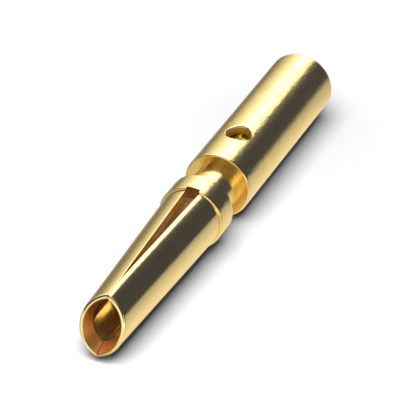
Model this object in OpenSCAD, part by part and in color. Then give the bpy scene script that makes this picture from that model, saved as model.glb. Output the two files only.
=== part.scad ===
// Crimp contact of the socket kind: one piece, turned, drilled and slotted.
// It stands on its wire end, with +Z along its axis and the mouth on top.
// The inspection hole and the wide end of the saw slot face -Y.

/* [Crimp barrel] */
// Outside diameter of the crimp barrel
barrel_d = 2.5; // [2.3:0.05:3.2]
// Length of the crimp barrel, from the wire end to its front face
barrel_len = 8.2; // [6:0.1:12]
// Chamfer on the outer edges of the barrel
barrel_edge = 0.06; // [0.02:0.01:0.12]

/* [Wire bore] */
// Diameter of the bore that takes the stripped wire
wire_bore_d = 1.5; // [1.1:0.05:1.8]
// Chamfer at the mouth of the wire bore
wire_lead_in = 0.12; // [0.04:0.01:0.2]
// Full diameter of the wire bore carried on past the inspection hole
bore_past_hole = 0.1; // [0.05:0.05:0.4]
// Included angle of the drill points at the bottom of both bores
drill_angle = 118; // [90:1:140]

/* [Inspection hole] */
// Diameter of the inspection hole in the barrel wall
view_hole_d = 0.9; // [0.5:0.05:1.1]
// Distance of the hole's centre behind the barrel's front face
view_hole_back = 1.85; // [1.5:0.05:3]
// Width of the broken edge at the sides of the hole
view_hole_edge = 0.05; // [0.01:0.01:0.08]

/* [Neck and collar] */
// Diameter of the neck that the retaining clip drops into
neck_d = 1.74; // [1.4:0.02:2]
// Length of the neck between barrel and collar
neck_len = 1.4; // [0.6:0.05:3]
// Outside diameter of the collar
collar_d = 2.42; // [2.36:0.02:2.9]
// Length of the collar
collar_len = 1.02; // [0.8:0.02:2]
// Chamfer on the outer edges of the collar
collar_edge = 0.05; // [0.01:0.01:0.05]

/* [Socket tines] */
// Outside diameter of the sleeve that the tines are cut from
sleeve_d = 2.26; // [2:0.02:2.3]
// Length of the tines along their own axis, from the collar to the mouth
sleeve_len = 7.42; // [5:0.02:10]
// Diameter of the socket bore, drilled before the tines are squeezed
socket_bore_d = 1.52; // [1.2:0.02:1.7]
// Radial step where the socket bore enters the collar
socket_step = 0.05; // [0.02:0.01:0.15]
// Full diameter of the socket bore carried on past the end of the slot
bore_past_slot = 0.1; // [0.05:0.05:0.3]

/* [Saw slot] */
// Width of the saw slot where the tines leave the collar
slot_w = 0.5; // [0.2:0.02:0.7]
// Depth that the saw runs on into the collar
slot_in_collar = 0.14; // [0.1:0.01:0.4]
// Length next to the mouth over which the squeezed tines lie closed
closed_len = 1.42; // [0.8:0.02:3]
// Gap that is left between the closed tines
tip_gap = 0.03; // [0.02:0.01:0.1]

/* [Mouth] */
// Slope of the mouth, with its long lip away from the inspection hole
mouth_tilt = 17; // [0:1:20]
// Width of the flat rim around the lead-in
rim_w = 0.13; // [0.05:0.01:0.2]
// Included angle of the lead-in cone
lead_in_angle = 60; // [40:5:100]

/* [Hidden] */
$fn = 96;

barrel_r = barrel_d / 2;
wire_bore_r = wire_bore_d / 2;
view_hole_r = view_hole_d / 2;
neck_r = neck_d / 2;
collar_r = collar_d / 2;
sleeve_r = sleeve_d / 2;
pilot_r = socket_bore_d / 2 - socket_step;

// Heights along the axis, from the wire end
view_hole_z = barrel_len - view_hole_back;
collar_back = barrel_len + neck_len;
collar_front = collar_back + collar_len;
slot_end = collar_front - slot_in_collar;
pilot_end = slot_end - bore_past_slot;
slot_shut = collar_front + sleeve_len - closed_len;
wire_bore_end = view_hole_z + view_hole_r + bore_past_hole;

// Angle that squeezes each tine until the slot is shut
tine_lean = atan((slot_w - tip_gap) / 2 / (slot_shut - collar_front));

// Depth by which a tine runs into the collar, so that the two are one solid
tine_root = slot_in_collar * 0.8;
// Run of a cutting shape past the surface that it opens
cut_over = sleeve_d;

// Depth of a drill point of the given radius
function drill_point(r) = r / tan(drill_angle / 2);

// Turned outside of barrel, neck and collar
module turned_blank() {
    rotate_extrude()
        polygon([
            [0, 0],
            [barrel_r - barrel_edge, 0],
            [barrel_r, barrel_edge],
            [barrel_r, barrel_len - barrel_edge],
            [barrel_r - barrel_edge, barrel_len],
            [neck_r, barrel_len],
            [neck_r, collar_back],
            [collar_r - collar_edge, collar_back],
            [collar_r, collar_back + collar_edge],
            [collar_r, collar_front - collar_edge],
            [collar_r - collar_edge, collar_front],
            [0, collar_front]
        ]);
}

// Blind bore for the wire, with its lead-in and drill point
module wire_bore() {
    rotate_extrude()
        polygon([
            [0, -cut_over],
            [wire_bore_r + wire_lead_in + cut_over, -cut_over],
            [wire_bore_r, wire_lead_in],
            [wire_bore_r, wire_bore_end],
            [0, wire_bore_end + drill_point(wire_bore_r)]
        ]);
}

// Bottom of the socket bore, inside the collar
module socket_pilot() {
    rotate_extrude()
        polygon([
            [0, collar_front + tine_root],
            [pilot_r, collar_front + tine_root],
            [pilot_r, pilot_end],
            [0, pilot_end - drill_point(pilot_r)]
        ]);
}

// Inspection hole through one wall of the barrel, with its edge broken
module view_hole() {
    // The curved wall is lower at the hole's sides than on its centre line
    side_y = sqrt(pow(barrel_r, 2) - pow(view_hole_r, 2));
    edge_cone = 30;
    cone_h = view_hole_edge / tan(edge_cone) + barrel_r;
    translate([0, 0, view_hole_z])
        rotate([90, 0, 0]) {
            cylinder(r = view_hole_r, h = barrel_r + cut_over);
            translate([0, 0, side_y - view_hole_edge / tan(edge_cone)])
                cylinder(r1 = view_hole_r, r2 = view_hole_r + cone_h * tan(edge_cone), h = cone_h);
        }
}

// Everything above the sloping mouth
module mouth_cut() {
    translate([-cut_over, -cut_over, 0])
        cube(2 * cut_over);
}

// Lead-in cone, square to the mouth and carried on below the bore's wall
module mouth_lead_in() {
    slope = tan(lead_in_angle / 2);
    mouth_r = sleeve_r - rim_w;
    point_r = socket_bore_d / 4;
    cone_h = (mouth_r - point_r) / slope;
    translate([0, 0, -cone_h])
        cylinder(r1 = point_r, r2 = mouth_r + cone_h * slope, h = 2 * cone_h);
}

// The half of the sleeve on +X, leaned in until its tip meets the other half
module tine() {
    intersection() {
        translate([0, 0, collar_front])
            rotate([0, -tine_lean, 0])
                difference() {
                    translate([0, 0, -tine_root])
                        cylinder(r = sleeve_r, h = tine_root + sleeve_len + cut_over);
                    translate([0, 0, -cut_over])
                        cylinder(d = socket_bore_d, h = sleeve_len + 3 * cut_over);
                    translate([0, 0, sleeve_len])
                        rotate([mouth_tilt, 0, 0]) {
                            mouth_cut();
                            mouth_lead_in();
                        }
                }
        translate([tip_gap / 4, -sleeve_d, collar_front - tine_root - cut_over])
            cube([sleeve_d, 2 * sleeve_d, tine_root + sleeve_len + 2 * cut_over]);
    }
}

// Saw slot across the whole sleeve, as the squeezed tines leave it
module saw_slot() {
    root = slot_w / 2;
    tip = tip_gap / 2;
    top = collar_front + sleeve_len + cut_over;
    rotate([90, 0, 0])
        linear_extrude(height = 2 * collar_d, center = true)
            polygon([
                [-root, slot_end],
                [root, slot_end],
                [root, collar_front],
                [tip, slot_shut],
                [tip, top],
                [-tip, top],
                [-tip, slot_shut],
                [-root, collar_front]
            ]);
}

module crimp_contact() {
    color("gold")
        difference() {
            union() {
                turned_blank();
                tine();
                mirror([1, 0, 0])
                    tine();
            }
            wire_bore();
            view_hole();
            socket_pilot();
            saw_slot();
        }
}

crimp_contact();
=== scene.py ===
"""A gold-plated crimp contact of the socket kind, modelled and dressed for a studio still.

The contact stands along +Z in the frame. In the still it lies on a pale floor,
so the floor is upright here, behind the barrel, and -Y is the studio's up.
"""
import logging
import math
from dataclasses import dataclass, field
from enum import Enum
from typing import Any, Callable, Sequence

import bmesh
import bpy
from mathutils import Matrix, Vector


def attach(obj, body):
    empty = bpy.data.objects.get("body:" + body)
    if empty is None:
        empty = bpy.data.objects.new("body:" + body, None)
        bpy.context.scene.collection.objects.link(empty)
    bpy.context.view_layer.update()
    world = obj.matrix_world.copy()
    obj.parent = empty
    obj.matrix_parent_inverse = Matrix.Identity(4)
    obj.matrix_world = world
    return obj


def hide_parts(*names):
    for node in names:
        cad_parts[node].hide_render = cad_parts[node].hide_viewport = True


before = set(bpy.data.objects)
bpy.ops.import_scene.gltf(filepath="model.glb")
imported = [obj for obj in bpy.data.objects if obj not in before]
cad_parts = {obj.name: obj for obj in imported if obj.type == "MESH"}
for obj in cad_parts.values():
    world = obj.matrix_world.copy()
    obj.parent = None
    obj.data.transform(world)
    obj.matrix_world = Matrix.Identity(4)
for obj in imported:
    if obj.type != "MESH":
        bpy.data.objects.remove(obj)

LOG = logging.getLogger("crimp_contact")
MM = 0.001
PHOTO_SIDE_PX = 408
FULL_TURN = 2.0 * math.pi
SAME_BELOW = 1e-4
MERGED_BELOW = 1e-5
Colour = tuple[float, float, float, float]
WHITE: Colour = (1.0, 1.0, 1.0, 1.0)
BLACK: Colour = (0.0, 0.0, 0.0, 1.0)
Span = tuple[float, float]
Band = tuple[float, float, float, float]
Stops = tuple[tuple[float, float], ...]
Test = Callable[[Vector], bool]


class Ray(Enum):
    """Facts about a ray that a studio surface answers in its own way."""

    CAMERA = "Is Camera Ray"
    GLOSSY = "Is Glossy Ray"
    SCATTERED = "Diffuse Depth"


class Cut(Enum):
    """How one solid works on another."""

    AWAY = "DIFFERENCE"
    JOINED = "UNION"


class Value:
    """A shader socket that takes part in Python expressions."""

    def __init__(self, tree: "ShaderTree", socket: bpy.types.NodeSocket) -> None:
        """Keeps the socket and the tree that it belongs to."""
        self.tree = tree
        self.socket = socket

    def maths(self, operation: str, *terms: Any) -> "Value":
        """Adds one Math node.

        Args:
            operation: The Math node's operation.
            terms: Values or numbers for its inputs, in order.

        Returns:
            The node's result.
        """
        return self.tree.node("ShaderNodeMath", {"operation": operation}, dict(enumerate(terms)))

    def __add__(self, other: Any) -> "Value":
        """Sum."""
        return self.maths("ADD", self, other)

    __radd__ = __add__

    def __sub__(self, other: Any) -> "Value":
        """Difference."""
        return self.maths("SUBTRACT", self, other)

    def __rsub__(self, other: Any) -> "Value":
        """Difference from a number."""
        return self.maths("SUBTRACT", other, self)

    def __mul__(self, other: Any) -> "Value":
        """Product."""
        return self.maths("MULTIPLY", self, other)

    __rmul__ = __mul__

    def __pow__(self, power: float) -> "Value":
        """Power."""
        return self.maths("POWER", self, power)

    def __abs__(self) -> "Value":
        """Size without the sign."""
        return self.maths("ABSOLUTE", self)

    def at_least(self, other: Any) -> "Value":
        """The larger of two values."""
        return self.maths("MAXIMUM", self, other)

    def angle_from(self, other: "Value") -> "Value":
        """Angle of a direction whose height is this value and whose run is the other."""
        return self.maths("ARCTAN2", self, other)


class ShaderTree:
    """A node tree that is filled by calls instead of by hand."""

    def __init__(self, tree: bpy.types.NodeTree) -> None:
        """Empties the tree and keeps it."""
        self.tree = tree
        tree.nodes.clear()

    def node(self, kind: str, settings: dict[str, Any] | None = None,
             inputs: dict[Any, Any] | None = None, output: Any = 0) -> Value | None:
        """Adds a node.

        Args:
            kind: The node's type name.
            settings: Properties that are set before its sockets are used.
            inputs: Numbers, colours or values, by socket name or index.
            output: Name or index of the output that is returned.

        Returns:
            The chosen output as a value, or None for a node without outputs.
        """
        made = self.tree.nodes.new(kind)
        for name, setting in (settings or {}).items():
            if name == "stops":
                self._set_stops(made.color_ramp, setting)
            else:
                setattr(made, name, setting)
        for name, given in (inputs or {}).items():
            if isinstance(given, Value):
                self.tree.links.new(given.socket, made.inputs[name])
            else:
                made.inputs[name].default_value = given
        return Value(self, made.outputs[output]) if made.outputs else None

    @staticmethod
    def _set_stops(ramp: bpy.types.ColorRamp, stops: Stops) -> None:
        """Gives a ramp its grey stops.

        Args:
            ramp: The ramp of a Color Ramp node.
            stops: Pairs of place and grey, in rising order of place.
        """
        while len(ramp.elements) < len(stops):
            ramp.elements.new(1.0)
        for element, (place, grey) in zip(ramp.elements, stops):
            element.position = place
            element.color = (grey, grey, grey, 1.0)

    def step(self, value: Value, start: float, end: float, low: float = 0.0, high: float = 1.0) -> Value:
        """Carries a value smoothly from low to high.

        Args:
            value: The value that is mapped.
            start: Where the rise starts.
            end: Where the rise ends.
            low: Result before the start.
            high: Result after the end.

        Returns:
            The mapped value.
        """
        inputs = {"Value": value, "From Min": start, "From Max": end, "To Min": low, "To Max": high}
        return self.node("ShaderNodeMapRange", {"interpolation_type": "SMOOTHSTEP"}, inputs)

    def band(self, value: Value, limits: Band) -> Value:
        """Tests whether a value lies in a band.

        Args:
            value: The value that is tested.
            limits: Where the band starts, is full, starts to fade and ends.

        Returns:
            One inside the band and zero outside it.
        """
        start, full, fade, end = limits
        return self.step(value, start, full) * self.step(value, end, fade)

    def ramp(self, place: Value, stops: Stops) -> Value:
        """A level that follows stops."""
        return self.node("ShaderNodeValToRGB", {"stops": stops}, {"Fac": place})

    def noise(self, place: Value, per_mm: float, detail: float) -> Value:
        """Noise in space, with so many lumps to a millimetre."""
        inputs = {"Vector": place, "Scale": per_mm / MM, "Detail": detail}
        return self.node("ShaderNodeTexNoise", None, inputs)

    def blend(self, low: Any, high: Any, share: Any) -> Value:
        """A value that goes from low to high with the share."""
        return low + (high - low) * share

    def tint(self, share: Value, low: Any, high: Any) -> Value:
        """A colour that goes from low to high with the share."""
        inputs = {"Factor": share, "A": low, "B": high}
        return self.node("ShaderNodeMix", {"data_type": "RGBA"}, inputs, output=2)

    def axes(self, vector: Value, unit: float = 1.0) -> list[Value]:
        """Splits a vector into its three parts, measured in a unit."""
        outputs = self.node("ShaderNodeSeparateXYZ", inputs={0: vector}).socket.node.outputs
        return [Value(self, output) * (1.0 / unit) for output in outputs]

    def rays(self, kind: Ray) -> Value:
        """What the ray says about itself, which is zero for no."""
        return self.node("ShaderNodeLightPath", output=kind.value)

    def unscattered(self) -> Value:
        """One for a ray that has met no dull surface yet, and zero for all others."""
        return self.step(self.rays(Ray.SCATTERED), 0.0, 1.0, 1.0, 0.0)

    def mix_shaders(self, share: Value, first: Value, second: Value) -> Value:
        """The first shader where the share is zero and the second where it is one."""
        return self.node("ShaderNodeMixShader", inputs={0: share, 1: first, 2: second})


class Bench:
    """Edit-mode steps on one new piece, in millimetres."""

    def __init__(self, name: str, start: Vector) -> None:
        """Starts a new piece as a single point.

        Args:
            name: Name of the piece.
            start: Where the point is.
        """
        if bpy.context.mode != "OBJECT":
            bpy.ops.object.mode_set(mode="OBJECT")
        bpy.ops.object.select_all(action="DESELECT")
        bpy.ops.mesh.primitive_plane_add(size=1.0)
        self.piece = bpy.context.active_object
        self.piece.name = self.piece.data.name = name
        bpy.ops.object.mode_set(mode="EDIT")
        bpy.ops.mesh.select_mode(type="VERT")
        bpy.ops.mesh.select_all(action="SELECT")
        bpy.ops.mesh.merge(type="CENTER")
        bpy.ops.transform.translate(value=start)
        self.pen = start.copy()

    def lift_pen(self, start: Vector) -> None:
        """Puts a new single point into the piece, and selects it alone."""
        bpy.ops.mesh.select_all(action="DESELECT")
        bpy.ops.mesh.primitive_plane_add(size=1.0)
        bpy.ops.mesh.merge(type="CENTER")
        bpy.ops.transform.translate(value=start)
        self.pen = start.copy()

    def draw(self, points: Sequence[Vector]) -> None:
        """Extrudes the selected point along a line of points."""
        for point in points:
            bpy.ops.mesh.extrude_region_move(TRANSFORM_OT_translate={"value": point - self.pen})
            self.pen = point.copy()

    def pick(self, test: Test) -> None:
        """Selects the vertices that a test picks by their place, with the edges and faces between them."""
        bpy.ops.mesh.select_all(action="DESELECT")
        mesh = bmesh.from_edit_mesh(self.piece.data)
        for vertex in mesh.verts:
            if test(vertex.co):
                vertex.select_set(True)
        mesh.select_flush(True)
        bmesh.update_edit_mesh(self.piece.data)

    def pick_open_edges(self, test: Test) -> None:
        """Selects the open edges whose middle passes a test."""
        bpy.ops.mesh.select_all(action="DESELECT")
        mesh = bmesh.from_edit_mesh(self.piece.data)
        for edge in mesh.edges:
            if edge.is_boundary and test((edge.verts[0].co + edge.verts[1].co) / 2.0):
                edge.select_set(True)
        bmesh.update_edit_mesh(self.piece.data)

    def spin(self, angle: float, steps: int) -> None:
        """Spins the selection about Z, anticlockwise as seen from the mouth."""
        bpy.ops.mesh.spin(steps=steps, angle=-angle, center=(0.0, 0.0, 0.0), axis=(0.0, 0.0, 1.0))

    def close_up(self) -> None:
        """Merges doubles and turns all faces outwards."""
        bpy.ops.mesh.select_all(action="SELECT")
        bpy.ops.mesh.remove_doubles(threshold=MERGED_BELOW)
        bpy.ops.mesh.normals_make_consistent(inside=False)

    def lay_down(self) -> bpy.types.Object:
        """Leaves edit mode and gives the piece back."""
        bpy.ops.object.mode_set(mode="OBJECT")
        return self.piece


def make_active(piece: bpy.types.Object) -> None:
    """Selects one object alone and makes it the active one."""
    bpy.ops.object.select_all(action="DESELECT")
    piece.select_set(True)
    bpy.context.view_layer.objects.active = piece


def apply_modifier(piece: bpy.types.Object, kind: str, settings: dict[str, Any]) -> None:
    """Adds a modifier and applies it.

    Args:
        piece: The object that is changed.
        kind: The modifier's type.
        settings: Its properties.
    """
    make_active(piece)
    made = piece.modifiers.new(kind.lower(), kind)
    for name, setting in settings.items():
        setattr(made, name, setting)
    bpy.ops.object.modifier_apply(modifier=made.name)


def work_on(piece: bpy.types.Object, tool: bpy.types.Object, cut: Cut) -> None:
    """Cuts a piece with a tool, or joins the tool to it, and puts the tool away."""
    apply_modifier(piece, "BOOLEAN", {"operation": cut.value, "object": tool, "solver": "EXACT"})
    used = tool.data
    bpy.data.objects.remove(tool)
    bpy.data.meshes.remove(used)


def rounded(corners: Sequence[tuple[float, float, float]], steps: int = 4) -> list[Vector]:
    """Draws a lathe profile with rounded corners.

    Args:
        corners: Radius, height and rounding radius of each corner, in millimetres.
        steps: Number of chords in a rounded corner.

    Returns:
        The profile's points in the XZ plane.
    """
    spots = [Vector((radius, 0.0, height)) for radius, height, _ in corners]
    points: list[Vector] = []
    for place, (spot, (_, _, rounding)) in enumerate(zip(spots, corners)):
        if rounding <= 0.0:
            points.append(spot)
            continue
        back = (spots[place - 1] - spot).normalized()
        ahead = (spots[place + 1] - spot).normalized()
        half = back.angle(ahead) / 2.0
        centre = spot + (back + ahead).normalized() * (rounding / math.sin(half))
        first = spot + back * (rounding / math.tan(half)) - centre
        last = spot + ahead * (rounding / math.tan(half)) - centre
        sweep = first.angle(last)
        for step in range(steps + 1):
            share = step / steps
            aside = math.sin((1.0 - share) * sweep) / math.sin(sweep)
            along = math.sin(share * sweep) / math.sin(sweep)
            points.append(centre + first * aside + last * along)
    return points


def near(one: float, two: float) -> bool:
    """Whether two sizes in millimetres are the same."""
    return abs(one - two) < SAME_BELOW


@dataclass(frozen=True)
class Look:
    """How a stretch of plating looks: constants or shader values, or None to leave what lies below."""

    colour: Any = None
    roughness: Any = None
    metal: Any = None

    def under(self, tree: ShaderTree, share: Value, cover: "Look") -> "Look":
        """Lays another look over this one.

        Args:
            tree: The material's tree.
            share: One where the other look covers this one.
            cover: The other look.

        Returns:
            The mixed look.
        """
        colour, roughness, metal = self.colour, self.roughness, self.metal
        if cover.colour is not None:
            colour = tree.tint(share, colour, cover.colour)
        if cover.roughness is not None:
            roughness = tree.blend(roughness, cover.roughness, share)
        if cover.metal is not None:
            metal = tree.blend(metal, cover.metal, share)
        return Look(colour, roughness, metal)


@dataclass(frozen=True)
class Spot:
    """A shaded place on the contact: its vector, and its radius and height in millimetres."""

    place: Value
    radius: Value
    along: Value


@dataclass(frozen=True)
class PlatedGold:
    """Gold plating over turned brass, with the lathe's fine rings. Lengths are in millimetres.

    The outside is bright: the sleeve is polished most, and the barrel has the most orange peel. The
    flanks of the clip groove are rougher and painted redder, a painted reflection of gold in gold. The
    barrel is painted a paler yellow inside, painted light that keeps its inner reflections bright, with a
    smooth wire bore and a dull wall round the inspection hole that is painted orange as a painted
    reflection. The socket is dull and brown, smooth in its throat behind the mouth, and painted coppery on
    its lead-in cone as a painted reflection of the gold it faces.

    A span says where a zone starts and where it is full. A band adds where it starts to fade and where
    it ends. The bore stops give, by share of the length, the radius inside which a surface belongs to
    a bore.
    """

    colour: Colour = (0.98, 0.78, 0.36, 1.0)
    cloud_colour: Colour = (0.95, 0.73, 0.31, 1.0)
    edge_tint: Colour = (1.0, 0.88, 0.66, 1.0)
    roughness: float = 0.16
    roughness_spread: float = 0.05
    sleeve_polish: float = 0.05
    # Painted reflection: the groove's redder colour stands in for light bounced between its gold faces; its
    # roughness is real.
    groove: Look = Look((0.96, 0.64, 0.18, 1.0), 0.2)
    # Painted light: the paler yellow inside the barrel keeps its inner reflections bright.
    barrel_inside_painted_light: Look = Look((1.0, 0.9, 0.44, 1.0))
    wire_bore: Look = Look(roughness=0.13)
    # Painted reflection: the orange of the hole's wall stands in for gold mirrored in gold; its dullness is
    # real roughness.
    hole: Look = Look((1.0, 0.66, 0.19, 1.0), 0.7)
    socket: Look = Look((1.0, 0.75, 0.55, 1.0), 0.5, 0.4)
    throat: Look = Look((0.82, 0.63, 0.3, 1.0), 0.08, 0.95)
    # Painted reflection: the lead-in cone's coppery colour stands in for the gold it mirrors.
    cone: Look = Look((0.9, 0.41, 0.115, 1.0), 0.36, 0.92)
    rings_per_mm: float = 22.0
    ring_slant: float = 1.3
    ring_detail: float = 3.0
    ring_depth: float = 0.0006
    cloud_per_mm: float = 1.1
    cloud_detail: float = 3.0
    cloud_rings: float = 0.3
    cloud_span: Span = (0.35, 0.7)
    peel_per_mm: float = 4.0
    peel_detail: float = 2.0
    peel_depth: float = 0.006
    grain_per_mm: float = 11.0
    grain_detail: float = 1.0
    grain_depth: float = 0.006
    grain_ahead: float = 0.4
    sleeve_skin: float = 0.35
    length: float = 18.4
    tine_foot: float = 10.62
    tine_lean: float = 0.0407
    barrel_end: Span = (8.1, 8.18)
    sleeve_from: Span = (10.62, 10.72)
    socket_from: Span = (9.2, 9.384)
    throat_from: Span = (14.9, 15.4)
    cone_radii: Span = (0.78, 0.79)
    groove_back: Band = (8.17, 8.19, 8.21, 8.22)
    groove_front: Band = (9.58, 9.59, 9.61, 9.63)
    groove_radii: Band = (0.88, 0.9, 1.18, 1.2)
    hole_along: Band = (5.88, 5.89, 6.81, 6.82)
    hole_radii: Band = (0.91, 1.01, 1.17, 1.23)
    inside_until: Span = (7.9, 7.8)
    inside_radii: Span = (1.05, 1.0)
    wire_bore_until: Span = (8.2, 8.0)
    bore_blur: float = 0.02
    bore_stops: Stops = (
        (0.0, 0.79), (0.41, 0.79), (0.43, 0.0), (0.55, 0.0), (0.56, 0.73), (0.571, 0.73), (0.573, 0.8),
        (0.935, 0.8), (0.957, 1.0))

    def _spot(self, tree: ShaderTree) -> Spot:
        """Measures the shaded place, with each tine as it was before the squeeze."""
        place = tree.node("ShaderNodeTexCoord", output="Object")
        across, deep, along = tree.axes(place, MM)
        spread = abs(across) + (along - self.tine_foot).at_least(0.0) * self.tine_lean
        return Spot(place, (spread * spread + deep * deep) ** 0.5, along)

    def _outside(self, tree: ShaderTree, spot: Spot, rings: Value) -> Look:
        """Clouds the colour of the outside and varies its polish.

        Args:
            tree: The material's tree.
            spot: The shaded place.
            rings: The lathe's rings.

        Returns:
            The look of the outside.
        """
        cloud = tree.noise(spot.place, self.cloud_per_mm, self.cloud_detail)
        clouded = tree.step(tree.blend(cloud, rings, self.cloud_rings), *self.cloud_span)
        polish = tree.step(spot.along, *self.sleeve_from) * self.sleeve_polish
        worn = self.roughness + (rings + cloud - 1.0) * self.roughness_spread - polish
        return Look(tree.tint(clouded, self.colour, self.cloud_colour), worn, 1.0)

    def _zones(self, tree: ShaderTree, spot: Spot, outside: Look) -> Look:
        """Lays the looks of groove, hole and bores over that of the outside.

        Args:
            tree: The material's tree.
            spot: The shaded place.
            outside: The look of the outside.

        Returns:
            The look of the whole contact.
        """
        flanks = tree.band(spot.along, self.groove_back) + tree.band(spot.along, self.groove_front)
        flanks = flanks * tree.band(spot.radius, self.groove_radii)
        within = tree.step(spot.along, *self.inside_until) * tree.step(spot.radius, *self.inside_radii)
        hole = tree.band(spot.along, self.hole_along) * tree.band(spot.radius, self.hole_radii)
        bore_r = tree.ramp(spot.along * (1.0 / self.length), self.bore_stops)
        bores = tree.step(spot.radius - bore_r, self.bore_blur, -self.bore_blur)
        wire = bores * tree.step(spot.along, *self.wire_bore_until)
        socket = bores * tree.step(spot.along, *self.socket_from)
        lining = self.socket.under(tree, tree.step(spot.along, *self.throat_from), self.throat)
        lining = lining.under(tree, tree.step(spot.radius, *self.cone_radii), self.cone)
        # The groove, the barrel's inside, the hole and the lead-in cone carry painted reflection or painted
        # light in their colours.
        look = outside.under(tree, flanks, self.groove).under(tree, within, self.barrel_inside_painted_light)
        look = look.under(tree, wire, self.wire_bore).under(tree, hole, self.hole)
        return look.under(tree, socket, lining)

    def _skin(self, tree: ShaderTree, spot: Spot, rings: Value) -> Value:
        """Raises the rings, the orange peel and the grain.

        Args:
            tree: The material's tree.
            spot: The shaded place.
            rings: The lathe's rings.

        Returns:
            The normal.
        """
        peel = tree.noise(spot.place, self.peel_per_mm, self.peel_detail)
        grain = tree.noise(spot.place, self.grain_per_mm, self.grain_detail)
        grain = grain * tree.step(spot.along, *self.barrel_end, 1.0, self.grain_ahead)
        skin = peel * (self.peel_depth / self.ring_depth) + grain * (self.grain_depth / self.ring_depth)
        height = rings + skin * tree.step(spot.along, *self.sleeve_from, 1.0, self.sleeve_skin)
        inputs = {"Height": height, "Distance": self.ring_depth * MM, "Strength": 1.0}
        return tree.node("ShaderNodeBump", None, inputs)

    def material(self) -> bpy.types.Material:
        """Makes the finish.

        Returns:
            The material.
        """
        made = bpy.data.materials.new("plated_gold")
        made.use_nodes = True
        tree = ShaderTree(made.node_tree)
        spot = self._spot(tree)
        lathe_place = (spot.along + spot.radius * self.ring_slant) * self.rings_per_mm
        rings = tree.node("ShaderNodeTexNoise", {"noise_dimensions": "1D"},
                          {"W": lathe_place, "Scale": 1.0, "Detail": self.ring_detail})
        look = self._zones(tree, spot, self._outside(tree, spot, rings))
        surface = tree.node("ShaderNodeBsdfPrincipled", None, {
            "Base Color": look.colour, "Metallic": look.metal, "Roughness": look.roughness,
            "Specular Tint": self.edge_tint, "Normal": self._skin(tree, spot, rings)})
        tree.node("ShaderNodeOutputMaterial", None, {"Surface": surface})
        return made


@dataclass(frozen=True)
class PaleFloor:
    """Plain pale studio paper, shaded near the contact and white farther out. Lengths are in millimetres.

    For the metal's reflections the paper glows with a painted pool of light instead of lamp light:
    painted shade right under the contact, a painted gold bounce beside it, and fading far out. The stops
    go from the contact's axis to the pool's reach, as shares of white: on the key light's side at -X, and
    on the dim side.
    """

    colour: Colour = (0.92, 0.92, 0.92, 1.0)
    shade_along: Span = (1.2, 18.9)
    white_from: Span = (1.8, 4.0)
    pool_reach: float = 30.0
    # Painted pool levels; the low first stops are painted shade under the contact.
    key_stops: Stops = (
        (0.0, 0.2), (0.025, 0.85), (0.04, 0.95), (0.08, 0.82), (0.113, 0.7), (0.203, 0.58), (0.347, 0.5),
        (1.0, 0.22))
    dim_stops: Stops = (
        (0.0, 0.2), (0.025, 0.85), (0.04, 0.9), (0.06, 0.75), (0.09, 0.5), (0.14, 0.34), (0.3, 0.2),
        (1.0, 0.36))
    dim_from: Span = (-1.0, 1.0)
    front_from: Span = (19.0, 22.0)
    front_level: float = 1.0
    # Painted gold bounce: the colour the mirrored pool takes close beside the contact.
    painted_bounce_colour: Colour = (1.0, 0.72, 0.38, 1.0)
    painted_bounce_until: Span = (0.45, 0.75)

    def material(self) -> bpy.types.Material:
        """Makes the paper.

        Returns:
            The material.
        """
        made = bpy.data.materials.new("pale_paper")
        made.use_nodes = True
        tree = ShaderTree(made.node_tree)
        across, _, along = tree.axes(tree.node("ShaderNodeTexCoord", output="Object"), MM)
        back, ahead = self.shade_along
        beyond = (back - along).at_least(along - ahead).at_least(0.0)
        away = (across * across + beyond * beyond) ** 0.5
        paper = tree.node("ShaderNodeBsdfDiffuse", None, {"Color": self.colour})
        white = tree.node("ShaderNodeEmission", None, {"Color": WHITE, "Strength": 1.0})
        seen = tree.mix_shaders(tree.step(away, *self.white_from), paper, white)
        # Painted light: the pool that the metal mirrors glows from the paper itself, with painted shade under
        # the contact.
        reach = away * (1.0 / self.pool_reach)
        key, dim = tree.ramp(reach, self.key_stops), tree.ramp(reach, self.dim_stops)
        pool = tree.blend(key, dim, tree.step(across, *self.dim_from))
        pool = tree.blend(pool, self.front_level, tree.step(along, *self.front_from))
        # Painted gold bounce, from the contact's axis out to the given reach.
        painted_bounce_tint = tree.tint(tree.step(abs(across), *self.painted_bounce_until), self.painted_bounce_colour, WHITE)
        glow = tree.tint(pool * tree.unscattered(), BLACK, painted_bounce_tint)
        mirrored = tree.node("ShaderNodeEmission", None, {"Color": glow, "Strength": 1.0})
        front = tree.mix_shaders(tree.rays(Ray.CAMERA), mirrored, seen)
        behind = tree.node("ShaderNodeNewGeometry", output="Backfacing")
        clear = tree.node("ShaderNodeBsdfTransparent")
        tree.node("ShaderNodeOutputMaterial", None, {"Surface": tree.mix_shaders(behind, front, clear)})
        return made


@dataclass(frozen=True)
class WallCard:
    """A pale card on the studio's wall, by a band along the contact's axis and one round it, in degrees."""

    along: Band
    turn: Band

    def share(self, tree: ShaderTree, along: Value, turn: Value) -> Value:
        """One where a direction meets the card and zero elsewhere."""
        return tree.band(along, self.along) * tree.band(turn, self.turn)


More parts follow.
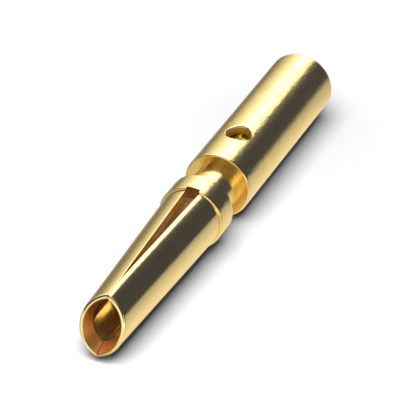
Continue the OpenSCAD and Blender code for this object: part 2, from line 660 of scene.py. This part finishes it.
@dataclass(frozen=True)
class StudioRoom:
    """What the metal mirrors: a tall soft panel overhead, a dark corner beside it and pale walls.

    The stops go once round the contact's axis, in degrees, and give the light there: +X is 0, the
    ceiling 90 and the floor -90. The first stops are for the back wall, which the barrel mirrors, the
    next for the ring that the sleeve mirrors, and the last for the front. Spans along the axis run from
    -1 at the back wall to 1 at the front wall.
    """

    brightest: float = 3.0
    back_stops: Stops = (
        (-180.0, 0.1), (-90.0, 0.2), (-30.0, 0.25), (-8.0, 0.34), (15.0, 0.72), (39.0, 1.1), (47.0, 1.42),
        (63.0, 2.4), (71.0, 2.52), (80.0, 2.36), (96.0, 1.4), (104.4, 1.0), (106.9, 0.26), (130.0, 0.11),
        (180.0, 0.11))
    ring_stops: Stops = (
        (-180.0, 0.1), (-90.0, 0.2), (-30.0, 0.2), (-8.0, 0.1), (15.0, 0.52), (39.0, 1.1), (47.0, 1.5),
        (63.0, 2.6), (71.0, 2.85), (94.0, 2.95), (100.6, 2.8), (102.6, 0.13), (130.0, 0.1), (180.0, 0.11))
    front_stops: Stops = (
        (-180.0, 1.4), (-120.0, 0.6), (-40.0, 0.12), (30.0, 0.12), (150.0, 0.14), (172.0, 1.4), (180.0, 1.4))
    ring_from: Span = (-0.785, -0.755)
    front_from: Span = (-0.2, 0.29)
    facing_from: Span = (0.82, 0.92)
    facing_level: float = 1.25
    cards: tuple[WallCard, ...] = (
        WallCard((0.3, 0.42, 0.6, 0.66), (82.8, 93.6, 111.6, 122.4)),
        WallCard((0.6, 0.66, 0.72, 0.76), (39.6, 54.0, 72.0, 86.4)))
    card_level: float = 0.9
    dark_tint: Colour = (0.58, 0.62, 1.0, 1.0)
    dark_until: Span = (0.1, 0.35)
    ambient: float = 0.12

    def _light(self, tree: ShaderTree, turn: Value, stops: Stops) -> Value:
        """Light round the axis, from stops in degrees."""
        shares = tuple((angle / 360.0 + 0.5, level / self.brightest) for angle, level in stops)
        return tree.ramp(turn * (1.0 / 360.0) + 0.5, shares) * self.brightest

    def build(self) -> bpy.types.World:
        """Makes the world and gives it to the scene.

        Returns:
            The world.
        """
        world = bpy.data.worlds.new("studio_room")
        bpy.context.scene.world = world
        world.use_nodes = True
        tree = ShaderTree(world.node_tree)
        across, down, along = tree.axes(tree.node("ShaderNodeTexCoord", output="Generated"))
        turn = (0.0 - down).angle_from(across) * (360.0 / FULL_TURN)
        room = self._light(tree, turn, self.back_stops)
        room = tree.blend(room, self._light(tree, turn, self.ring_stops), tree.step(along, *self.ring_from))
        room = tree.blend(room, self._light(tree, turn, self.front_stops), tree.step(along, *self.front_from))
        cards = sum(card.share(tree, along, turn) for card in self.cards)
        room = tree.blend(room, self.card_level, cards)
        room = tree.blend(room, self.facing_level, tree.step(along, *self.facing_from))
        glossy = tree.rays(Ray.GLOSSY)
        strength = tree.blend(self.ambient, room * tree.unscattered(), glossy)
        strength = tree.blend(strength, 1.0, tree.rays(Ray.CAMERA))
        pale = tree.step(strength, *self.dark_until).at_least(1.0 - glossy)
        tint = tree.tint(pale, self.dark_tint, WHITE)
        light = tree.node("ShaderNodeBackground", None, {"Color": tint, "Strength": strength})
        tree.node("ShaderNodeOutputWorld", None, {"Surface": light})
        world.cycles.sampling_method = "NONE"
        return world


@dataclass
class KeySoftbox:
    """The long softbox over the contact and ahead of it, which throws its short shadow.

    The metal doesn't mirror it, because it mirrors the room's panel instead.
    """

    height: float = 60.0 * MM
    along: float = 60.0 * MM
    half_angle: float = math.radians(25.0)
    half_angle_along: float = math.radians(45.0)
    radiance: float = 4.6

    def build(self) -> bpy.types.Object:
        """Hangs the softbox.

        Returns:
            The lamp.
        """
        data = bpy.data.lights.new("key_softbox", "AREA")
        data.shape = "RECTANGLE"
        data.size = 2.0 * self.height * math.tan(self.half_angle)
        data.size_y = 2.0 * self.height * math.tan(self.half_angle_along)
        data.energy = self.radiance * math.pi * data.size * data.size_y
        lamp = bpy.data.objects.new("key_softbox", data)
        lamp.location = (0.0, -self.height, self.along)
        lamp.rotation_euler = (math.radians(90.0), 0.0, 0.0)
        lamp.visible_glossy = False
        bpy.context.scene.collection.objects.link(lamp)
        return lamp


@dataclass(frozen=True)
class PhotoCamera:
    """The photograph's view: its place round the contact, its turn and its long lens."""

    azimuth: float = math.radians(-28.86)
    elevation: float = math.radians(51.8)
    roll: float = math.radians(140.8)
    aim: Vector = field(default_factory=lambda: Vector((-0.044, 0.024, 9.489)) * MM)
    distance: float = 106.15 * MM
    focal_px: float = 3000.0
    sensor_mm: float = 36.0

    def build(self) -> bpy.types.Object:
        """Makes the camera and gives it to the scene.

        Returns:
            The camera.
        """
        level = math.cos(self.elevation)
        back = Vector((math.sin(self.azimuth) * level, -math.cos(self.azimuth) * level,
                       math.sin(self.elevation)))
        data = bpy.data.cameras.new("photo_camera")
        data.sensor_width = self.sensor_mm
        data.lens = self.focal_px / PHOTO_SIDE_PX * self.sensor_mm
        data.clip_start, data.clip_end = self.distance * 0.01, self.distance * 100
        camera = bpy.data.objects.new("photo_camera", data)
        bpy.context.scene.collection.objects.link(camera)
        turn = (-back).to_track_quat("-Z", "Y").to_matrix() @ Matrix.Rotation(-self.roll, 3, "Z")
        camera.matrix_world = Matrix.Translation(self.aim + back * self.distance) @ turn.to_4x4()
        bpy.context.scene.camera = camera
        return camera


@dataclass
class TurnedBody:
    """Barrel, neck and collar as they come off the lathe, drilled and sawn.

    Sizes are in millimetres, and the turns round the hole's rim, from outside to inside, in degrees.
    """

    barrel_r: float = 1.25
    barrel_len: float = 8.2
    barrel_edge: float = 0.06
    wire_bore_r: float = 0.75
    wire_bore_end: float = 6.9
    wire_lead_in: float = 0.12
    lead_in_edge: float = 0.05
    wire_face_edge: float = 0.03
    neck_r: float = 0.87
    collar_r: float = 1.21
    collar_back: float = 9.6
    collar_front: float = 10.62
    collar_edge: float = 0.05
    pilot_r: float = 0.71
    pilot_end: float = 10.38
    pilot_edge: float = 0.015
    drill_half_angle: float = math.radians(59.0)
    drill_corner: float = 0.02
    hole_r: float = 0.45
    hole_at: float = 6.35
    hole_rounding: float = 0.085
    hole_rim_turns: tuple[int, ...] = (75, 60, 45, 30, 15, 0)
    hole_flare: float = 0.15
    hole_steps: int = 96
    drill_start: float = 2.5
    drill_top: float = 1.875
    slot_half: float = 0.256
    slot_end: float = 10.48
    turn_steps: int = 192
    row_step: float = 0.05
    rows_each_way: int = 14

    def turn(self) -> bpy.types.Object:
        """Turns and drills the blank, with close rows of faces where the inspection hole will be.

        Returns:
            The blank, as a closed mesh.
        """
        point = 1.0 / math.tan(self.drill_half_angle)
        rows = range(-self.rows_each_way, self.rows_each_way + 1)
        corners = [
            (0.0, self.wire_bore_end + self.wire_bore_r * point, 0.0),
            (self.wire_bore_r, self.wire_bore_end, self.drill_corner),
            (self.wire_bore_r, self.wire_lead_in, self.lead_in_edge),
            (self.wire_bore_r + self.wire_lead_in, 0.0, self.wire_face_edge),
            (self.barrel_r, 0.0, self.barrel_edge),
            *((self.barrel_r, self.hole_at + row * self.row_step, 0.0) for row in rows),
            (self.barrel_r, self.barrel_len, self.barrel_edge),
            (self.neck_r, self.barrel_len, 0.0),
            (self.neck_r, self.collar_back, 0.0),
            (self.collar_r, self.collar_back, self.collar_edge),
            (self.collar_r, self.collar_front, self.collar_edge),
            (self.pilot_r, self.collar_front, self.pilot_edge),
            (self.pilot_r, self.pilot_end, self.drill_corner),
            (0.0, self.pilot_end - self.pilot_r * point, 0.0),
        ]
        profile = rounded(corners)
        bench = Bench("turned_body", profile[0])
        bench.draw(profile[1:])
        bpy.ops.mesh.select_all(action="SELECT")
        bench.spin(FULL_TURN, self.turn_steps)
        bench.close_up()
        return bench.lay_down()

    def hole_drill(self, blank: bpy.types.Object) -> bpy.types.Object:
        """Makes the drill for the inspection hole, flared so that it breaks the hole's edge.

        Args:
            blank: The turned blank, on which the flare is fitted.

        Returns:
            The drill, as a closed mesh.
        """
        centre = Vector((0.0, 0.0, self.hole_at))
        above = centre - Vector((0.0, self.drill_top, 0.0))
        turns = [math.radians(angle) for angle in self.hole_rim_turns]
        radii = [self.hole_r + self.hole_rounding * (1.0 - math.cos(turn)) for turn in turns]
        depths = [self.hole_rounding * (1.0 - math.sin(turn)) for turn in turns]
        rim = radii[0]
        bench = Bench("hole_drill", Vector((rim, -self.drill_start, self.hole_at)))
        bpy.ops.mesh.spin(steps=self.hole_steps, angle=FULL_TURN, center=centre, axis=(0.0, 1.0, 0.0))
        bench.close_up()
        drill = bench.lay_down()
        apply_modifier(drill, "SHRINKWRAP", {"target": blank, "wrap_method": "PROJECT", "use_project_y": True,
                                             "use_positive_direction": True})
        bpy.ops.object.mode_set(mode="EDIT")
        bpy.ops.mesh.select_all(action="SELECT")
        bpy.ops.transform.translate(value=(0.0, depths[0], 0.0))
        for last, radius, before, depth in zip(radii, radii[1:], depths, depths[1:]):
            self._next_ring(radius / last, depth - before, centre)
        self._close_ring(centre)
        bench.pick(lambda spot: near(math.hypot(spot.x, spot.z - self.hole_at), rim))
        self._next_ring((rim + self.hole_flare) / rim, -self.hole_flare / math.tan(turns[0]), centre)
        self._close_ring(above)
        bench.close_up()
        return bench.lay_down()

    @staticmethod
    def _next_ring(ratio: float, down: float, centre: Vector) -> None:
        """Extrudes the selected ring along Y and scales the new one about the hole's axis."""
        bpy.ops.mesh.extrude_region_move(TRANSFORM_OT_translate={"value": (0.0, down, 0.0)})
        bpy.ops.transform.resize(value=(ratio, 1.0, ratio), center_override=centre)

    @staticmethod
    def _close_ring(centre: Vector) -> None:
        """Extrudes the selected ring to the height of a centre, flattens it there and fills it."""
        bpy.ops.mesh.extrude_region_move()
        bpy.ops.transform.resize(value=(1.0, 0.0, 1.0), center_override=centre)
        bpy.ops.mesh.edge_face_add()

    def collar_saw(self) -> bpy.types.Object:
        """Makes the block that the saw takes out of the collar.

        Returns:
            The block.
        """
        tall = self.collar_front - self.slot_end
        bpy.ops.object.select_all(action="DESELECT")
        bpy.ops.mesh.primitive_cube_add(size=2.0, location=(0.0, 0.0, self.slot_end + tall),
                                        scale=(self.slot_half, 2.0 * self.collar_r, tall))
        bpy.ops.object.transform_apply(location=True, rotation=True, scale=True)
        return bpy.context.active_object

    def build(self) -> bpy.types.Object:
        """Makes the body.

        Returns:
            The body, as a closed mesh in millimetres.
        """
        body = self.turn()
        work_on(body, self.hole_drill(body), Cut.AWAY)
        work_on(body, self.collar_saw(), Cut.AWAY)
        return body


@dataclass(frozen=True)
class Arc:
    """A round edge of a tine: its radius, its height above the foot and its rise along Y."""

    radius: float
    height: float
    rise: float = 0.0

    def holds(self, spot: Vector) -> bool:
        """Whether a place lies on the arc while the arc is still level."""
        return near(spot.z, self.height) and near(math.hypot(spot.x, spot.y), self.radius)


@dataclass
class Tine:
    """One half of the sawn sleeve, squeezed in until it meets the other half. Sizes are in millimetres."""

    foot: float = 10.62
    root: float = 0.11
    sleeve_r: float = 1.13
    bore_r: float = 0.76
    length: float = 7.42
    slot_half: float = 0.25
    closed_len: float = 1.42
    tip_half: float = 0.003
    mouth_tilt: float = math.radians(17.0)
    rim: float = 0.13
    lead_in_half_angle: float = math.radians(30.0)
    edge: float = 0.035
    edge_steps: int = 3
    edge_above: float = math.radians(25.0)
    mouth_edge: float = 0.09
    mouth_edge_steps: int = 6
    arc_steps: int = 64
    end_rounds: int = 4

    @property
    def shut_at(self) -> float:
        """Height above the foot at which the slot is shut."""
        return self.length - self.closed_len

    @property
    def lean(self) -> float:
        """Angle by which the tine is squeezed in."""
        return math.atan((self.slot_half - self.tip_half) / self.shut_at)

    @property
    def lead_in_foot(self) -> float:
        """Height above the foot at which the lead-in cone meets the bore."""
        return self.length - (self.sleeve_r - self.rim - self.bore_r) / math.tan(self.lead_in_half_angle)

    @property
    def arcs(self) -> list[Arc]:
        """The tine's round edges: up its outside, over the rim and down its bore."""
        rise = math.tan(self.mouth_tilt)
        return [Arc(self.sleeve_r, -self.root), Arc(self.sleeve_r, self.shut_at),
                Arc(self.sleeve_r, self.length, rise), Arc(self.sleeve_r - self.rim, self.length, rise),
                Arc(self.bore_r, self.lead_in_foot, rise), Arc(self.bore_r, self.shut_at),
                Arc(self.bore_r, -self.root)]

    def end_angle(self, arc: Arc, side: float) -> float:
        """Closes in on the angle at which an arc meets the slot.

        The height of the arc's end and the place of the slot's wall depend on each other.

        Args:
            arc: The arc.
            side: -1 for the slot on -Y and 1 for the one on +Y.

        Returns:
            The angle from +X, without its sign.
        """
        wall = self.slot_half
        for _ in range(self.end_rounds):
            top = arc.height + arc.rise * side * math.sqrt(arc.radius ** 2 - wall ** 2)
            wall = self.slot_half + max(0.0, top - self.shut_at) * math.tan(self.lean)
        return math.acos(wall / arc.radius)

    def _draw_arcs(self) -> Bench:
        """Spins the arcs, all of them level.

        Returns:
            The bench with the arcs.
        """
        bench: Bench | None = None
        for arc in self.arcs:
            front, back = self.end_angle(arc, -1.0), self.end_angle(arc, 1.0)
            start = Vector((arc.radius * math.cos(front), -arc.radius * math.sin(front), arc.height))
            if bench is None:
                bench = Bench("tine", start)
            else:
                bench.lift_pen(start)
            bench.spin(front + back, self.arc_steps)
        return bench

    def _add_walls(self, bench: Bench) -> None:
        """Bridges the arcs and fills the slot's two walls, each with a fold where the slot is shut.

        Args:
            bench: The bench with the arcs.
        """
        for one, two in zip(self.arcs, self.arcs[1:] + self.arcs[:1]):
            bench.pick(lambda spot: one.holds(spot) or two.holds(spot))
            bpy.ops.mesh.bridge_edge_loops()
        for side in (-1.0, 1.0):
            bench.pick_open_edges(lambda spot: spot.y * side > 0.0)
            bpy.ops.mesh.edge_face_add()
            bench.pick(lambda spot: (spot.y * side > 0.0 and near(spot.z, self.shut_at)
                                     and near(spot.x, self.slot_half)))
            bpy.ops.mesh.vert_connect_path()

    def _slope_mouth(self, bench: Bench) -> None:
        """Tilts the mouth's arcs within the tine's round walls, and rounds its outer edge.

        Args:
            bench: The bench with the walled tine.
        """
        stretch = 1.0 / math.cos(self.mouth_tilt)
        for height in (self.length, self.lead_in_foot):
            bench.pick(lambda spot: near(spot.z, height))
            centre = (0.0, 0.0, height)
            bpy.ops.transform.rotate(value=-self.mouth_tilt, orient_axis="X", center_override=centre)
            bpy.ops.transform.resize(value=(1.0, stretch, stretch), center_override=centre)
        bench.close_up()
        above = self.shut_at + self.edge
        bench.pick(lambda spot: spot.z > above and near(math.hypot(spot.x, spot.y), self.sleeve_r))
        bpy.ops.mesh.bevel(offset=self.mouth_edge, segments=self.mouth_edge_steps, affect="EDGES")

    def build(self) -> bpy.types.Object:
        """Makes the tine on +X.

        Returns:
            The tine, as a closed mesh in millimetres.
        """
        bench = self._draw_arcs()
        self._add_walls(bench)
        self._slope_mouth(bench)
        apply_modifier(bench.lay_down(), "BEVEL", {"width": self.edge, "segments": self.edge_steps,
                                                   "limit_method": "ANGLE", "angle_limit": self.edge_above})
        bpy.ops.object.mode_set(mode="EDIT")
        bpy.ops.mesh.select_all(action="SELECT")
        bpy.ops.transform.rotate(value=self.lean, orient_axis="Y", center_override=(0.0, 0.0, 0.0))
        bpy.ops.transform.translate(value=(0.0, 0.0, self.foot))
        return bench.lay_down()

    @staticmethod
    def mirrored(tine: bpy.types.Object) -> bpy.types.Object:
        """Copies a tine to the other side of the slot.

        Args:
            tine: The tine on +X.

        Returns:
            The tine on -X, with a mesh of its own.
        """
        make_active(tine)
        bpy.ops.object.duplicate(linked=False)
        copy = bpy.context.active_object
        bpy.ops.object.mode_set(mode="EDIT")
        bpy.ops.mesh.select_all(action="SELECT")
        bpy.ops.transform.resize(value=(-1.0, 1.0, 1.0), center_override=(0.0, 0.0, 0.0))
        bpy.ops.mesh.normals_make_consistent(inside=False)
        bpy.ops.object.mode_set(mode="OBJECT")
        return copy


@dataclass
class CrimpContact:
    """The whole contact: the turned body with its two tines, in one piece."""

    body: TurnedBody = field(default_factory=TurnedBody)
    tine: Tine = field(default_factory=Tine)
    finish: PlatedGold = field(default_factory=PlatedGold)
    smooth_below: float = math.radians(38.0)

    def build(self) -> bpy.types.Object:
        """Makes the contact in the frame's metres.

        Returns:
            The contact.
        """
        contact = self.body.build()
        right = self.tine.build()
        left = Tine.mirrored(right)
        work_on(contact, right, Cut.JOINED)
        work_on(contact, left, Cut.JOINED)
        contact.name = contact.data.name = "gold_contact"
        make_active(contact)
        bpy.ops.object.shade_smooth_by_angle(angle=self.smooth_below)
        apply_modifier(contact, "WEIGHTED_NORMAL", {"keep_sharp": True})
        bpy.ops.object.mode_set(mode="EDIT")
        bpy.ops.mesh.select_all(action="SELECT")
        bpy.ops.transform.resize(value=(MM, MM, MM), center_override=(0.0, 0.0, 0.0))
        bpy.ops.object.mode_set(mode="OBJECT")
        return contact

    def dress(self, contact: bpy.types.Object) -> None:
        """Plates the contact and puts it in the CAD part's place."""
        contact.data.materials.clear()
        contact.data.materials.append(self.finish.material())
        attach(contact, "root")
        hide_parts("crimp_contact")


@dataclass
class FloorSheet:
    """The paper that the contact lies on: upright in the frame, just behind the barrel."""

    height: float = 1.25 * MM
    side: float = 400.0 * MM
    along: float = 9.2 * MM
    finish: PaleFloor = field(default_factory=PaleFloor)

    def build(self) -> bpy.types.Object:
        """Lays the paper.

        Returns:
            The floor.
        """
        bpy.ops.object.select_all(action="DESELECT")
        bpy.ops.mesh.primitive_plane_add(size=self.side, location=(0.0, self.height, self.along),
                                         rotation=(math.radians(90.0), 0.0, 0.0))
        floor = bpy.context.active_object
        floor.name = floor.data.name = "paper_floor"
        bpy.ops.object.transform_apply(location=True, rotation=True, scale=True)
        floor.data.materials.append(self.finish.material())
        return floor


def main() -> None:
    """Builds the still and reports each piece."""
    logging.basicConfig(level=logging.INFO, format="%(message)s")
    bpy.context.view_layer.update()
    bpy.context.scene.view_settings.view_transform = "Standard"
    maker = CrimpContact()
    contact = maker.build()
    maker.dress(contact)
    LOG.info("%s: %d faces", contact.name, len(contact.data.polygons))
    floor = FloorSheet().build()
    LOG.info("%s: %d faces", floor.name, len(floor.data.polygons))
    StudioRoom().build()
    LOG.info("%s hung", KeySoftbox().build().name)
    LOG.info("%s set", PhotoCamera().build().name)


if __name__ == "__main__":
    main()
